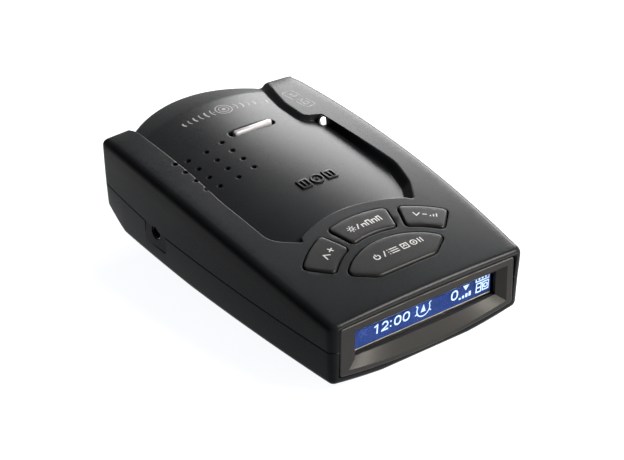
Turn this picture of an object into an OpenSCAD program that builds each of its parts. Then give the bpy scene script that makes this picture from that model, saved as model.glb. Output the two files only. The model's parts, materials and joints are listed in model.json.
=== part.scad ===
// Dashboard radar detector: wedge-shaped two-part case with a display at the
// front, four keys on top, a speaker grid, an alert light and a sensor block.
// X is across the case, -Y is the display end, +Z is up, Z = 0 is the rest plane.

/* [Case] */
// Width of the case at its widest
case_w = 70; // [69:0.5:72]
// Length of the case, from the display face to the tip of the rear bulge
case_l = 113; // [112:0.5:115]
// How far the rear bulge stands out past the rear corners
bulge_l = 7.7; // [7:0.1:8.5]
// Height of the crest at the rear, on the centre line
case_h = 31; // [30.5:0.1:32]
// Drop of the top surface from the rear corners to the display face
wedge_drop = 9.7; // [9.4:0.1:10]
// Wall thickness of both shells
wall = 2; // [1.8:0.1:2.1]
// Radius of the bowed sides in plan
side_r = 692; // [680:1:720]
// Radius of the crown across the top
crown_r = 650; // [600:5:700]
// Radius of the bow across the underside
belly_r = 176; // [170:1:182]
// Height of the parting line at the front
parting_z = 12.4; // [12.2:0.1:12.6]
// Rise of the parting line towards the rear
parting_rise = 4.4; // [4.2:0.1:4.5]

/* [Keys] */
// Y of the centre that the ring of keys is drawn about
ring_y = -58; // [-58.5:0.1:-57.5]
// Inner radius of the ring of keys
ring_r_in = 25.7; // [25.5:0.1:26]
// Outer radius of the ring of keys
ring_r_out = 34.3; // [34:0.1:34.5]
// Corner radius of the ring keys
key_corner = 1.3; // [1:0.1:1.5]
// Gap around each key cap
key_gap = 0.35; // [0.3:0.05:0.4]
// How far a key stands above the case
key_proud = 0.45; // [0.3:0.05:0.6]
// Travel of a key
key_travel = 0.5; // [0.3:0.1:0.6]

/* [Display] */
// Width of the display window
window_w = 48.8; // [48:0.2:49.4]
// Height of the display window
window_h = 7.3; // [7:0.1:7.5]
// Height of the window's lower edge
window_z = 8; // [8:0.1:8.3]

/* [Speaker] */
// Radius of the loudspeaker
speaker_r = 12; // [11.5:0.1:12]
// Diameter of a grid hole
grid_d = 1.5; // [1.2:0.1:1.8]
// Distance between grid holes along the case
grid_pitch = 5.1; // [4.8:0.1:5.2]

/* [Power jack] */
// Bore diameter of the power jack
jack_bore_d = 3.5; // [3.5:0.1:3.6]
// Depth of the power jack's bore
jack_depth = 9; // [8:0.5:10]

/* [Hidden] */

$fn = 48;
big_fn = 720;
over = 1;                                   // overshoot of a cutting tool
half_w = case_w / 2;
y_front = -case_l / 2;
y_rear = case_l / 2;
y_corner = y_rear - bulge_l;
side_y = 3.5;                               // where the case is widest
bulge_r = 38;
front_corner_r = 2.7;
rear_corner_r = 2.2;
top_r = pow(y_corner - y_front, 2) / (2 * wedge_drop);
belly_z = -0.6;                             // the bow's lowest point, below the flat land
panel_top_r = 483;                          // the sunken panel's long radius
panel_crown_r = 126;                        // and its radius across
panel_dark = [0.09, 0.09, 0.10];
case_dark = [0.12, 0.12, 0.13];
board_green = [0.05, 0.30, 0.16];
steel = [0.66, 0.67, 0.70];
board_z = 8;
board_t = 1.6;
board_top = board_z + board_t;
key_board_z = 13.6;
key_board_t = 1.2;
key_board_top = key_board_z + key_board_t;
switch_h = 3.5;
switch_s = 6;
key_depth = wall + 1.15;                    // underside of a key below the case's surface
plunger_r = 1.75;
plunger_top = 19.4;
plunger_h = 2.2;
bezel_t = 2.6;
bezel_y = y_front + 0.4;                    // front face of the bezel
bezel_back = bezel_y + bezel_t;
bezel_half_w = 29.4;
bezel_top = 19.3;
window_half = window_w / 2;
lens_t = 0.8;
display_t = 1.8;
speaker_pos = [-16.6, 17];
speaker_top = 23.7;
speaker_h = 2.3;
speaker_z = speaker_top - speaker_h;        // underside of the loudspeaker basket
horn_top = 19.6;
light_pos = [3.6, 27.3];
light_size = [15.1, 2.6];
led_screw_pos = [[light_pos[0] - 5, light_pos[1] + 5.2], [light_pos[0] + 5, light_pos[1] + 5.2]];
road_window = [24.2, 19.3, 6.4, 5.6];       // x, z, width and height of the rear sensor window
jack_y = 20.8;
jack_z = 12.5;
jack_half_w = half_w - 0.3;
jack_recess = [5.2, 7.9];                   // half width and bottom of the recess round it
jack_nose_r = 2.8;
case_screw_pos = [[-27.2, -40], [27.2, -40], [-27, 33], [27, 33]];
board_screw_pos = [[-22, -33], [22, -33], [-22, -2], [22, -2]];
key_screw_pos = [[-25.5, -26.5], [25.5, -26.5], [-22.5, -46], [22.5, -46]];
grid_rows = [[-8, 10.2], [-14, 9.1], [-20.7, 7.6], [-25.2, 8.2]];   // x and first y of a row
up_angles = [111.8, 136.2];
dim_angles = [73.2, 106.2];
down_angles = [44.3, 67.4];
power_r = 22.7;
power_flat = [9.4, 10.9];                   // half length and height of its straight front edge

function ring_point(r, a) = [r * cos(a), ring_y + r * sin(a)];
function middle(angles) = (angles[0] + angles[1]) / 2;
up_pos = ring_point(30, middle(up_angles));
dim_pos = ring_point(30, middle(dim_angles));
down_pos = ring_point(30, middle(down_angles));
power_pos = [0, -39.5];
key_positions = [up_pos, dim_pos, down_pos, power_pos];

// ---- helper functions for outlines ----
function arc_points(c, r, a0, a1, n) =
    [for (i = [0 : n]) c + r * [cos(a0 + (a1 - a0) * i / n), sin(a0 + (a1 - a0) * i / n)]];
function mirrored(points) = [for (i = [len(points) - 1 : -1 : 0]) [-points[i][0], points[i][1]]];

// Plan outline of the case, inset by t: front corner, bowed side, rear corner, bulge
function side_angle(y, r) = asin((y - side_y) / (side_r - r));
function side_x(y, r) = half_w - side_r + (side_r - r) * cos(side_angle(y, r));
function bulge_angle(t) = asin((y_corner - t - (y_rear - bulge_r)) / (bulge_r - t));
function half_outline(t) =
    let (fy = y_front + front_corner_r, ry = y_corner - rear_corner_r)
    concat(
        arc_points([side_x(fy, front_corner_r), fy], front_corner_r - t, -90,
            side_angle(fy, front_corner_r), 6),
        arc_points([half_w - side_r, side_y], side_r - t, side_angle(fy + 2, 0),
            side_angle(ry - 2, 0), 14),
        arc_points([side_x(ry, rear_corner_r), ry], rear_corner_r - t,
            side_angle(ry, rear_corner_r), 90, 5),
        arc_points([0, y_rear - bulge_r], bulge_r - t, bulge_angle(t), 90, 12));
function outline(t) = concat(half_outline(t), mirrored(half_outline(t)));

// Side profile, inset by t, as seen from +X (Y across, Z up)
function side_profile(t) = [
    [y_front + t, t], [4.5, t], [35 - t * 0.4, 0.75 + t], [46.6 - t * 0.5, 7.5 + t * 0.9],
    [48.9 - t * 0.5, 9.6 + t], [y_rear + 1 - t, 12.9 + t], [y_rear + 1 - t, case_h - 1.3 - t],
    [47, case_h + 0.1 - t], [30, case_h + 4], [y_front + t, case_h + 4]];

// A key of the ring: a sector with rounded corners, grown by g
function sector(angles, g) =
    let (r0 = ring_r_in - g, r1 = ring_r_out + g, c = key_corner + g,
        extra = g / ((r0 + r1) / 2) * 180 / PI,
        a0 = angles[0] - extra, a1 = angles[1] + extra,
        d1 = asin(c / (r1 - c)), d0 = asin(c / (r0 + c)))
    concat(
        arc_points(ring_point(r1 - c, a0 + d1), c, a0 - 90, a0 + d1, 4),
        arc_points([0, ring_y], r1, a0 + d1 + 1, a1 - d1 - 1, 6),
        arc_points(ring_point(r1 - c, a1 - d1), c, a1 - d1, a1 + 90, 4),
        arc_points(ring_point(r0 + c, a1 - d0), c, a1 + 90, a1 - d0 + 180, 4),
        arc_points([0, ring_y], r0, a1 - d0 - 1, a0 + d0 + 1, 5),
        arc_points(ring_point(r0 + c, a0 + d0), c, a0 + d0 + 180, a0 + 270, 4));

// The power key: a lens shape with a curved back edge and a straight front edge
function power_half(g) = concat(
    arc_points([power_flat[0] - 1.2, ring_y + power_flat[1] + 2.4], 2.4 + g, -90, -54, 4),
    arc_points([14.6, ring_y + 15.6], 1.2 + g, -50, 38, 5),
    arc_points([0, ring_y], power_r + g, 52, 90, 7));
function power_outline(g) = concat(power_half(g), mirrored(power_half(g)));

// The sunken panel's edge: left side, rear, sensor block, right side, front arc
function panel_outline() = concat(
    [[-18.5, -25], [-21.4, -24.2], [-23, -21.8], [-24, -18.4], [-24.3, -12], [-23.7, -4],
     [-22.5, 8], [-22.2, 25], [-22, 44], [-24.5, y_rear + 2]],
    [[24.8, y_rear + 2], [23.8, 47.5], [21.9, 39.5], [20.8, 32.5], [20.9, 24.2], [22, 22],
     [25.6, 18.8], [26.1, 10], [26.1, 2], [25.4, -8], [24.3, -15.5], [22.6, -20.5], [19.6, -25.6]],
    arc_points([0, ring_y], 38.7, 60, 118, 10));

// ---- forms that the shells are cut from ----
module across(x0, x1) {                     // extrudes a side view along X
    translate([x0, 0, 0]) rotate([90, 0, 90]) linear_extrude(x1 - x0) children();
}
module crowned_form(long_r, cross_r, t) {   // everything under a double-curved top
    translate([0, y_corner, case_h - long_r]) rotate([0, 90, 0])
        rotate_extrude($fn = big_fn) intersection() {
            translate([long_r - cross_r, 0]) circle(cross_r - t, $fn = big_fn);
            translate([long_r - 50, -half_w - 3]) square([60, case_w + 6]);
        }
}
module top_form(t) { crowned_form(top_r, crown_r, t); }
module panel_form(t) { crowned_form(panel_top_r, panel_crown_r, t); }
module outer_form(t) {
    intersection() {
        linear_extrude(case_h + 2) polygon(outline(t));
        top_form(t);
        translate([0, 0, belly_z + belly_r]) rotate([90, 0, 0])
            cylinder(r = belly_r - t, h = case_l + 4, center = true, $fn = big_fn);
        across(-half_w - 1, half_w + 1) polygon(side_profile(t));
    }
}
module below_parting() {
    across(-half_w - 2, half_w + 2) polygon([[y_front - 2, -3], [y_rear + 2, -3],
        [y_rear + 2, parting_z + parting_rise], [18, parting_z + 1], [y_front - 2, parting_z]]);
}
module bezel_outline(g) {                   // front view of the bezel, grown by g
    intersection() {
        translate([0, belly_z + belly_r]) circle(belly_r - 2.5 + g, $fn = big_fn);
        translate([0, bezel_top - 1200]) circle(1200 + g, $fn = big_fn);
        translate([-bezel_half_w - g, 0]) square([2 * (bezel_half_w + g), 22]);
    }
}
module front_view(y0, y1) {                 // extrudes a front view along Y
    translate([0, y1, 0]) rotate([90, 0, 0]) linear_extrude(y1 - y0) children();
}
module plate(size, pos, h) {                // a centred rectangular plate
    translate([pos[0] - size[0] / 2, pos[1] - size[1] / 2, pos[2]])
        cube([size[0], size[1], h]);
}
module stadium(size, g) {                   // a slot outline with round ends
    for (s = [-1, 1]) translate([s * (size[0] - size[1]) / 2, 0]) circle(size[1] / 2 + g);
    square([size[0] - size[1], size[1] + 2 * g], center = true);
}
module at(points) { for (p = points) translate([p[0], p[1], 0]) children(); }
module key_outline(which, g) {
    polygon(which == "up" ? sector(up_angles, g) : which == "dim" ? sector(dim_angles, g)
        : which == "down" ? sector(down_angles, g) : power_outline(g));
}

module jack_hole() {                        // the way that the jack's nose takes through the wall
    translate([-half_w - over, jack_y, jack_z]) rotate([0, 90, 0])
        cylinder(r = jack_nose_r + 0.1, h = 8);
}
module cabin_lens_axis() {                  // Z points out towards the cabin
    translate([25.6, 20.6, 28]) rotate([62, 0, 0]) children();
}

// ---- the case ----
module bracket_socket(g) {                  // the slot that the windscreen bracket enters
    translate([-9 - g, 44 - g, 23 - g]) cube([18 + 2 * g, 20, 2.6 + 2 * g]);
}
module top_ribs() {                         // bosses and ribs under the top
    intersection() {
        union() {
            translate([speaker_pos[0], speaker_pos[1], speaker_z]) difference() {
                cylinder(r = speaker_r + 1.2, h = 12);
                translate([0, 0, -over]) cylinder(r = speaker_r + 0.15, h = 14);
            }
            at(case_screw_pos) cylinder(r = 3, h = 40);
            at(key_screw_pos) translate([0, 0, key_board_top]) cylinder(r = 1.8, h = 20);
            at(led_screw_pos) translate([0, 0, 24.9]) cylinder(r = 1.4, h = 10);
            bracket_socket(1.2);
        }
        outer_form(0.6);
        union() {
            panel_form(0.6);
            translate([-half_w, y_front, 0]) cube([case_w, 27, case_h]);
        }
    }
}
module top_shell() {
    color(case_dark) difference() {
        union() {
            difference() { outer_form(0); outer_form(wall); }
            intersection() {
                outer_form(0.5);
                panel_form(0);
                difference() {
                    translate([0, 0, 16]) linear_extrude(20)
                        polygon(outline(1));
                    translate([0, ring_y, 0]) cylinder(r = 36.9, h = 40);
                    translate([-half_w, y_front - over, 0]) cube([case_w, 31, 40]);
                    panel_form(wall);
                }
            }
            top_ribs();
        }
        below_parting();
        difference() {
            translate([0, 0, 15]) linear_extrude(30) polygon(panel_outline());
            panel_form(0);
        }
        front_view(y_front - over, y_front + wall + over) bezel_outline(0.1);
        for (k = ["up", "dim", "down", "power"])
            translate([0, 0, 15]) linear_extrude(20) key_outline(k, key_gap);
        for (row = grid_rows, i = [0 : 3])
            translate([row[0], row[1] + i * grid_pitch, 15]) cylinder(d = grid_d, h = 20);
        translate([light_pos[0], light_pos[1], 24]) linear_extrude(10) stadium(light_size, 0.2);
        at(case_screw_pos) cylinder(r = 1.12, h = 18.5);
        at(key_screw_pos) cylinder(r = 0.82, h = 18.5);
        bracket_socket(0);
        cabin_lens_axis() translate([0, 0, -4]) cylinder(d = 3.5, h = 12);
        front_view(y_corner - 3, y_corner + 2) translate([road_window[0], road_window[1]])
            square([road_window[2], road_window[3]]);
        at(led_screw_pos) translate([0, 0, 20]) cylinder(r = 0.5, h = 8);
        jack_hole();
    }
}
module bottom_shell() {
    color(case_dark) difference() {
        intersection() {
            union() {
                difference() { outer_form(0); outer_form(wall); }
                intersection() {
                    outer_form(0.6);
                    union() {
                        at(case_screw_pos) cylinder(r = 3.6, h = 20);
                        at(board_screw_pos) cylinder(r = 2.4, h = board_z);
                    }
                }
            }
            below_parting();
        }
        front_view(y_front - over, y_front + wall + over) bezel_outline(0.1);
        at(case_screw_pos) {
            translate([0, 0, -over]) cylinder(r = 2.5, h = 6);
            cylinder(r = 1.25, h = 20);
        }
        at(board_screw_pos) translate([0, 0, 2.4]) cylinder(r = 0.92, h = 10);
        translate([-half_w - over, jack_y - jack_recess[0], jack_recess[1]])
            cube([1.9, 2 * jack_recess[0], 9]);
        jack_hole();
        translate([-15.5, -22, -over]) cube([31, 17, 1.25]);
    }
}
module front_bezel() {
    color(case_dark) difference() {
        union() {
            front_view(bezel_y, y_front + wall) bezel_outline(0);
            front_view(y_front + wall, bezel_back)
                translate([-29, 4.4]) square([58, 13.2]);
        }
        hull() {
            translate([-window_half - 2.4, bezel_y - 0.01, 3.5])
                cube([window_w + 4.8, 0.01, 13.4]);
            translate([-window_half, bezel_y + 1.6, window_z]) cube([window_w, 0.01, window_h]);
        }
        translate([-window_half, bezel_y - over, window_z]) cube([window_w, 5, window_h]);
    }
}

// ---- display ----
module display_lens() {
    color([0.1, 0.1, 0.12, 0.4]) translate([-27.6, bezel_back, 7.6])
        cube([55.2, lens_t, 9.4]);
}
module display_panel() {
    color([0.05, 0.12, 0.45]) translate([-27, bezel_back + lens_t, 7.9])
        cube([54, display_t, 8.8]);
}
module display_holder() {
    color(panel_dark) difference() {
        translate([-28.6, bezel_back, 6.4]) cube([57.2, 4.2, 11.1]);
        translate([-27.6, bezel_back - over, 7.6]) cube([55.2, over + lens_t, 9.4]);
        translate([-27, bezel_back - over, 7.9]) cube([54, over + lens_t + display_t, 8.8]);
        translate([-11, bezel_back, 7.9]) cube([22, 8, 4]);
    }
}
module display_flex() {
    flex_y = bezel_back + lens_t + display_t;
    color([0.75, 0.45, 0.12]) {
        translate([-9, flex_y, 8.2]) cube([18, 2.2, 0.3]);
        translate([-9, flex_y + 1.9, 8.2]) cube([18, 0.3, board_top - 8.2 + 0.3]);
        translate([-9, flex_y + 1.9, board_top]) cube([18, 5, 0.3]);
    }
}

// ---- keys ----
module key_cap(which, pos) {
    intersection() {
        translate([0, 0, 15]) linear_extrude(20) key_outline(which, 0);
        difference() { top_form(-key_proud); top_form(key_depth); }
    }
    intersection() {
        translate([0, 0, 15]) linear_extrude(20) key_outline(which, 0.8);
        difference() { top_form(wall + 0.2); top_form(key_depth); }
    }
    intersection() {
        translate([pos[0], pos[1], plunger_top]) cylinder(r = 1.6, h = 10);
        top_form(wall);
    }
}
module up_button() { color([0.16, 0.16, 0.17]) key_cap("up", up_pos); }
module dim_button() { color([0.16, 0.16, 0.17]) key_cap("dim", dim_pos); }
module down_button() { color([0.16, 0.16, 0.17]) key_cap("down", down_pos); }
module power_button() { color([0.16, 0.16, 0.17]) key_cap("power", power_pos); }
module plunger(pos) {
    translate([pos[0], pos[1], plunger_top - plunger_h]) cylinder(r = plunger_r, h = plunger_h);
}
module up_plunger() { color("black") plunger(up_pos); }
module dim_plunger() { color("black") plunger(dim_pos); }
module down_plunger() { color("black") plunger(down_pos); }
module power_plunger() { color("black") plunger(power_pos); }
module tact_switches() {
    color([0.2, 0.2, 0.21]) at(key_positions) difference() {
        plate([switch_s, switch_s], [0, 0, key_board_top], switch_h);
        translate([0, 0, plunger_top - plunger_h - key_travel - 0.3])
            cylinder(r = plunger_r + 0.06, h = 5);
    }
}
module key_board() {
    color(board_green) difference() {
        translate([-28, -47.8, key_board_z]) cube([56, 24, key_board_t]);
        at(case_screw_pos) translate([0, 0, key_board_z - over]) cylinder(r = 3.6, h = 4);
        at(key_screw_pos) translate([0, 0, key_board_z - over]) cylinder(r = 1, h = 4);
    }
}
module key_board_screws() {
    color(steel) at(key_screw_pos) {
        translate([0, 0, key_board_z - 1]) cylinder(r = 1.7, h = 1);
        translate([0, 0, key_board_z - 0.1]) cylinder(r = 0.8, h = 4.6);
    }
}

// ---- main board and what stands on it ----
module main_board() {
    color(board_green) difference() {
        translate([-28.6, -47.5, board_z]) cube([57.2, 89.5, board_t]);
        at(case_screw_pos) translate([0, 0, board_z - over]) cylinder(r = 4, h = 4);
        at(board_screw_pos) translate([0, 0, board_z - over]) cylinder(r = 1.2, h = 4);
        translate([-30, jack_y - 4.2, board_z - over]) cube([8.5, 8.4, 4]);
        for (s = [-1, 1]) translate([s * 30, 44, board_z - over]) cylinder(r = 7, h = 4);
    }
}
module board_screws() {
    color(steel) at(board_screw_pos) {
        translate([0, 0, board_top]) cylinder(r = 2, h = 1.2);
        translate([0, 0, 3]) cylinder(r = 0.9, h = board_top - 2.9);
    }
}
module horn_antenna() {                     // flared waveguide, open to the rear
    color([0.7, 0.7, 0.72]) difference() {
        translate([-15, 14, board_top]) cube([30, 29, horn_top - board_top]);
        hull() {
            translate([-13.8, 43.01, board_top + 1.2])
                cube([27.6, 0.01, horn_top - board_top - 2.4]);
            translate([-5, 24, 13]) cube([10, 0.01, 4.2]);
        }
        translate([-5, 16, 13]) cube([10, 9, 4.2]);
    }
}
module rf_can() { color(steel) plate([24, 7], [0, 9.8, board_top], 3.4); }
module gps_patch() {
    color([0.78, 0.74, 0.62]) plate([18, 18], [2, -6, board_top], 4);
    color([0.8, 0.8, 0.78]) plate([13, 13], [2, -6, board_top + 4], 0.1);
}
module gps_can() { color(steel) plate([12, 12], [-14.5, -14, board_top], 2.4); }
module processor() { color([0.06, 0.06, 0.07]) plate([12, 12], [12, -27, board_top], 1.4); }
module capacitors() {
    color([0.2, 0.2, 0.3]) for (x = [-24, 24]) translate([x, 9, board_top])
        cylinder(r = 3, h = 8);
}
module backup_cell() { color(steel) translate([21.8, 21, board_top]) cylinder(r = 5, h = 2.6); }

// ---- loudspeaker ----
module speaker_basket() {
    color([0.25, 0.25, 0.26]) translate([speaker_pos[0], speaker_pos[1], speaker_z]) difference() {
        cylinder(r = speaker_r, h = speaker_h);
        translate([0, 0, 0.8]) cylinder(r = speaker_r - 1.2, h = 4);
        translate([0, 0, -over]) cylinder(r = 4, h = 4);
    }
}
module speaker_cone() {
    color([0.12, 0.12, 0.13]) translate([speaker_pos[0], speaker_pos[1], speaker_z + 1.1])
        rotate_extrude() polygon([[3.2, 0], [speaker_r - 1.4, 1.1], [speaker_r - 1.4, 1.5],
            [3.2, 0.4], [0, 1.2], [0, 0.8]]);
}
module speaker_magnet() {
    color(steel) translate([speaker_pos[0], speaker_pos[1], speaker_z - 1.3])
        cylinder(r = 6, h = 1.3);
}
module speaker_gasket() {
    color([0.05, 0.05, 0.05]) translate([speaker_pos[0], speaker_pos[1], speaker_top])
        difference() {
            cylinder(r = speaker_r, h = 0.6);
            translate([0, 0, -over]) cylinder(r = speaker_r - 1.4, h = 3);
        }
}
module speaker_contacts() {
    color([0.8, 0.6, 0.2]) for (x = [-19.6, -16.2])
        translate([x, 9, board_top]) cylinder(r = 0.6, h = speaker_z - board_top, $fn = 24);
}

// ---- alert light ----
module light_bar() {
    color([0.75, 0.77, 0.80]) intersection() {
        translate([light_pos[0], light_pos[1], 25.9]) linear_extrude(8) stadium(light_size, 0);
        panel_form(-0.15);
    }
}
module led_board() {
    color(board_green) difference() {
        plate([15, 9], [light_pos[0], light_pos[1] + 2.3, 23.9], 1);
        at(led_screw_pos) translate([0, 0, 23]) cylinder(r = 0.6, h = 3);
    }
}
module alert_leds() {
    color([0.9, 0.9, 0.8]) for (s = [-1, 1])
        plate([2.8, 1.4], [light_pos[0] + s * 3.6, light_pos[1], 24.9], 0.8);
}

// ---- sensor block ----
module cabin_sensor_lens() {
    color([0.92, 0.93, 0.95]) cabin_lens_axis() translate([0, 0, -2.6]) cylinder(d = 3.3, h = 4);
}
module road_sensor_lens() {
    color([0.12, 0.03, 0.05]) front_view(y_corner - 2.2, y_corner - 0.2)
        translate([road_window[0] + 0.1, road_window[1] + 0.1])
            square([road_window[2] - 0.2, road_window[3] - 0.2]);
}
module sensor_board() {
    color(board_green) translate([23.4, 41.4, 15.5]) cube([7.2, 1, 9.1]);
}
module sensor_diode() {
    color([0.3, 0.25, 0.3]) translate([25, 42.4, 19.8]) cube([4.8, 1.6, 4.4]);
}

// ---- power jack ----
module power_jack() {
    color([0.08, 0.08, 0.08]) difference() {
        union() {
            translate([-jack_half_w + 3.2, jack_y - 3.6, jack_z - 3]) cube([9.6, 7.2, 6]);
            translate([-jack_half_w + 0.9, jack_y, jack_z]) rotate([0, 90, 0])
                cylinder(r = jack_nose_r, h = 3);
        }
        translate([-jack_half_w - over, jack_y, jack_z]) rotate([0, 90, 0])
            cylinder(d = jack_bore_d, h = jack_depth + over + 0.9);
        translate([-jack_half_w - over, jack_y, jack_z]) rotate([0, 90, 0])
            cylinder(r = 2.25, h = 3.4);
    }
}
module jack_ring() {
    color(steel) translate([-jack_half_w + 0.9, jack_y, jack_z]) rotate([0, 90, 0]) difference() {
        cylinder(r = 2.25, h = 1.5);
        translate([0, 0, -over]) cylinder(d = jack_bore_d, h = 4);
    }
}

// ---- fasteners and label ----
module case_screws() {
    color(steel) at(case_screw_pos) {
        translate([0, 0, 3.6]) cylinder(r = 2.2, h = 1.4);
        translate([0, 0, 4.9]) cylinder(r = 1.1, h = 12);
    }
}
module rating_plate() {
    color([0.35, 0.35, 0.36]) translate([-15, -21.5, 0.05]) cube([30, 16, 0.2]);
}

top_shell();
bottom_shell();
front_bezel();
display_lens();
display_panel();
display_holder();
display_flex();
up_button();
dim_button();
down_button();
power_button();
up_plunger();
dim_plunger();
down_plunger();
power_plunger();
tact_switches();
key_board();
key_board_screws();
main_board();
board_screws();
horn_antenna();
rf_can();
gps_patch();
gps_can();
processor();
capacitors();
backup_cell();
speaker_basket();
speaker_cone();
speaker_magnet();
speaker_gasket();
speaker_contacts();
light_bar();
led_board();
alert_leds();
cabin_sensor_lens();
road_sensor_lens();
sensor_board();
sensor_diode();
power_jack();
jack_ring();
case_screws();
rating_plate();
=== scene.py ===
"""Radar detector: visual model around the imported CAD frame. Lengths are millimetres until a mesh is made."""
import json
import math

import bpy
import numpy as np
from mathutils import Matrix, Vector, geometry, kdtree


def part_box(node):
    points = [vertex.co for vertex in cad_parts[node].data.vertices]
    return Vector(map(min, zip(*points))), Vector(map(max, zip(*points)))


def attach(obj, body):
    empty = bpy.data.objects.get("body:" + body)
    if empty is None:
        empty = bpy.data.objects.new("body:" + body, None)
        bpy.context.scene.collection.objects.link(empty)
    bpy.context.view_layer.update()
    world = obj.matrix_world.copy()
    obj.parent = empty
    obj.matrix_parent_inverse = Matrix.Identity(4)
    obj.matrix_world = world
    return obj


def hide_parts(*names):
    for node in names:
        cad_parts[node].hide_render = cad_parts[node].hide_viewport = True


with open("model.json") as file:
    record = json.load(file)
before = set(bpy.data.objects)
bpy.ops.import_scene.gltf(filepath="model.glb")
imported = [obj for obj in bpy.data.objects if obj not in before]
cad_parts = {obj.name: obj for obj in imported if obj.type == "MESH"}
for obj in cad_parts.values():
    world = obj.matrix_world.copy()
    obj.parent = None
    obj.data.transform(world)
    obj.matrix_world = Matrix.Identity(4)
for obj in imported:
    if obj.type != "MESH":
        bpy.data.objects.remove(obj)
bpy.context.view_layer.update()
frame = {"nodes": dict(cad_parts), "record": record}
MM = 0.001


def box_mm(node):
    low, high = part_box(node)
    return np.array(low) / MM, np.array(high) / MM


# ---------------------------------------------------------------- driving dimensions, from the frame
SHELL_LOW, SHELL_HIGH = box_mm("top_shell")
HALF_W = (SHELL_HIGH[0] - SHELL_LOW[0]) / 2
Y_FRONT, Y_REAR = SHELL_LOW[1], SHELL_HIGH[1]
CASE_H = SHELL_HIGH[2]
BULGE_L = 7.7
Y_CORNER = Y_REAR - BULGE_L
SIDE_R, SIDE_Y = 692.0, 3.5
BULGE_R = 38.0
FRONT_CORNER_R, REAR_CORNER_R, NOTCH_R = 2.7, 2.2, 0.8
WEDGE_DROP = 9.7
TOP_R = (Y_CORNER - Y_FRONT) ** 2 / (2 * WEDGE_DROP)
CROWN_R = 650.0
PANEL_R, PANEL_CROWN_R = 483.0, 126.0
BELLY_R, BELLY_Z = 176.0, -0.6
PARTING_Y, PARTING_Z = (-58.5, 18.0, 58.5), (12.4, 13.4, 16.8)
EDGE_R, FRONT_EDGE_R = 2.4, 1.5
SKIN = 2.0
RIM_REAR_Y, RIM_REAR_SLOPE = 43.2, 0.1
BAND_SLOPE = 0.16
RING_Y = -58.0
RING_IN, RING_OUT = 25.7, 34.3
STEP_R = 38.3
KEY_GAP, KEY_PROUD, KEY_CORNER = 0.35, 0.45, 1.3
KEY_EDGE, KEY_DEPTH, FLANGE = 0.55, 3.4, 0.6
KEY_ANGLES = {"up": (111.8, 136.2), "dim": (73.2, 106.2), "down": (44.3, 67.4)}


# ---------------------------------------------------------------- plane geometry
def arc(cx, cy, r, a0, a1, n):
    """Points on an arc, and their outward normals."""
    a = np.radians(np.linspace(a0, a1, n))
    u = np.stack([np.cos(a), np.sin(a)], 1)
    return np.array([cx, cy]) + r * u, u


def join(parts):
    """Joins stretches of (points, normals), dropping repeated points."""
    points = np.concatenate([p[0] for p in parts])
    normals = np.concatenate([p[1] for p in parts])
    keep = [0]
    for i in range(1, len(points)):
        if np.linalg.norm(points[i] - points[keep[-1]]) > 0.02:
            keep.append(i)
    if np.linalg.norm(points[keep[-1]] - points[keep[0]]) < 0.02:
        keep.pop()
    return points[keep], normals[keep]


def straight(p, q, n):
    p, q = np.array(p, float), np.array(q, float)
    t = np.linspace(0, 1, n)[:, None]
    d = (q - p) / np.linalg.norm(q - p)
    normal = np.array([d[1], -d[0]])
    return p + (q - p) * t, np.repeat(normal[None], n, 0)


def mirrored(stretch):
    points, normals = stretch
    flip = np.array([-1.0, 1.0])
    return points[::-1] * flip, normals[::-1] * flip


def case_outline():
    """The case's widest outline, counter-clockwise from the middle of the front, with outward normals."""
    def side_angle(y, r):
        return math.degrees(math.asin((y - SIDE_Y) / (SIDE_R - r)))

    def side_x(y, r):
        return HALF_W - SIDE_R + (SIDE_R - r) * math.cos(math.radians(side_angle(y, r)))

    front_y, rear_y = Y_FRONT + FRONT_CORNER_R, Y_CORNER - REAR_CORNER_R
    front_x, rear_x = side_x(front_y, FRONT_CORNER_R), side_x(rear_y, REAR_CORNER_R)
    a0, a1 = side_angle(front_y, FRONT_CORNER_R), side_angle(rear_y, REAR_CORNER_R)
    bulge_y = Y_REAR - BULGE_R
    notch_y = Y_CORNER + NOTCH_R
    notch_x = math.sqrt((BULGE_R + NOTCH_R) ** 2 - (notch_y - bulge_y) ** 2)
    notch_a = math.degrees(math.atan2(notch_y - bulge_y, notch_x))
    notch, notch_n = arc(notch_x, notch_y, NOTCH_R, -90, notch_a - 180, 9)
    half = [straight((0, Y_FRONT), (front_x, Y_FRONT), 30),
            arc(front_x, front_y, FRONT_CORNER_R, -90, a0, 9),
            arc(HALF_W - SIDE_R, SIDE_Y, SIDE_R, a0, a1, 76),
            arc(rear_x, rear_y, REAR_CORNER_R, a1, 90, 9),
            straight((rear_x, Y_CORNER), (notch_x, Y_CORNER), 14),
            (notch, -notch_n),
            arc(0, bulge_y, BULGE_R, notch_a, 90, 44)]
    return join(half + [mirrored(s) for s in half[::-1]])


def rounded(corners, n=7):
    """A closed outline through corners (x, y, radius), counter-clockwise, with outward normals."""
    parts = []
    count = len(corners)
    for i, (x, y, r) in enumerate(corners):
        p, a, b = np.array([x, y]), np.array(corners[i - 1][:2]), np.array(corners[(i + 1) % count][:2])
        u, v = (a - p) / np.linalg.norm(a - p), (b - p) / np.linalg.norm(b - p)
        half = math.acos(max(-1, min(1, float(u @ v)))) / 2
        if half > math.radians(89.5) or r < 0.01:
            d = (v - u) / np.linalg.norm(v - u)
            parts.append((p[None], np.array([[d[1], -d[0]]])))
            continue
        reach = r / math.tan(half)
        centre = p + (u + v) / np.linalg.norm(u + v) * r / math.sin(half)
        start, end = p + u * reach - centre, p + v * reach - centre
        s0, s1 = math.atan2(start[1], start[0]), math.atan2(end[1], end[0])
        turn = (s1 - s0 + math.pi) % (2 * math.pi) - math.pi
        angle = s0 + turn * np.linspace(0, 1, n)
        unit = np.stack([np.cos(angle), np.sin(angle)], 1)
        parts.append((centre + r * unit, unit if turn > 0 else -unit))
    return join(parts)


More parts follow.
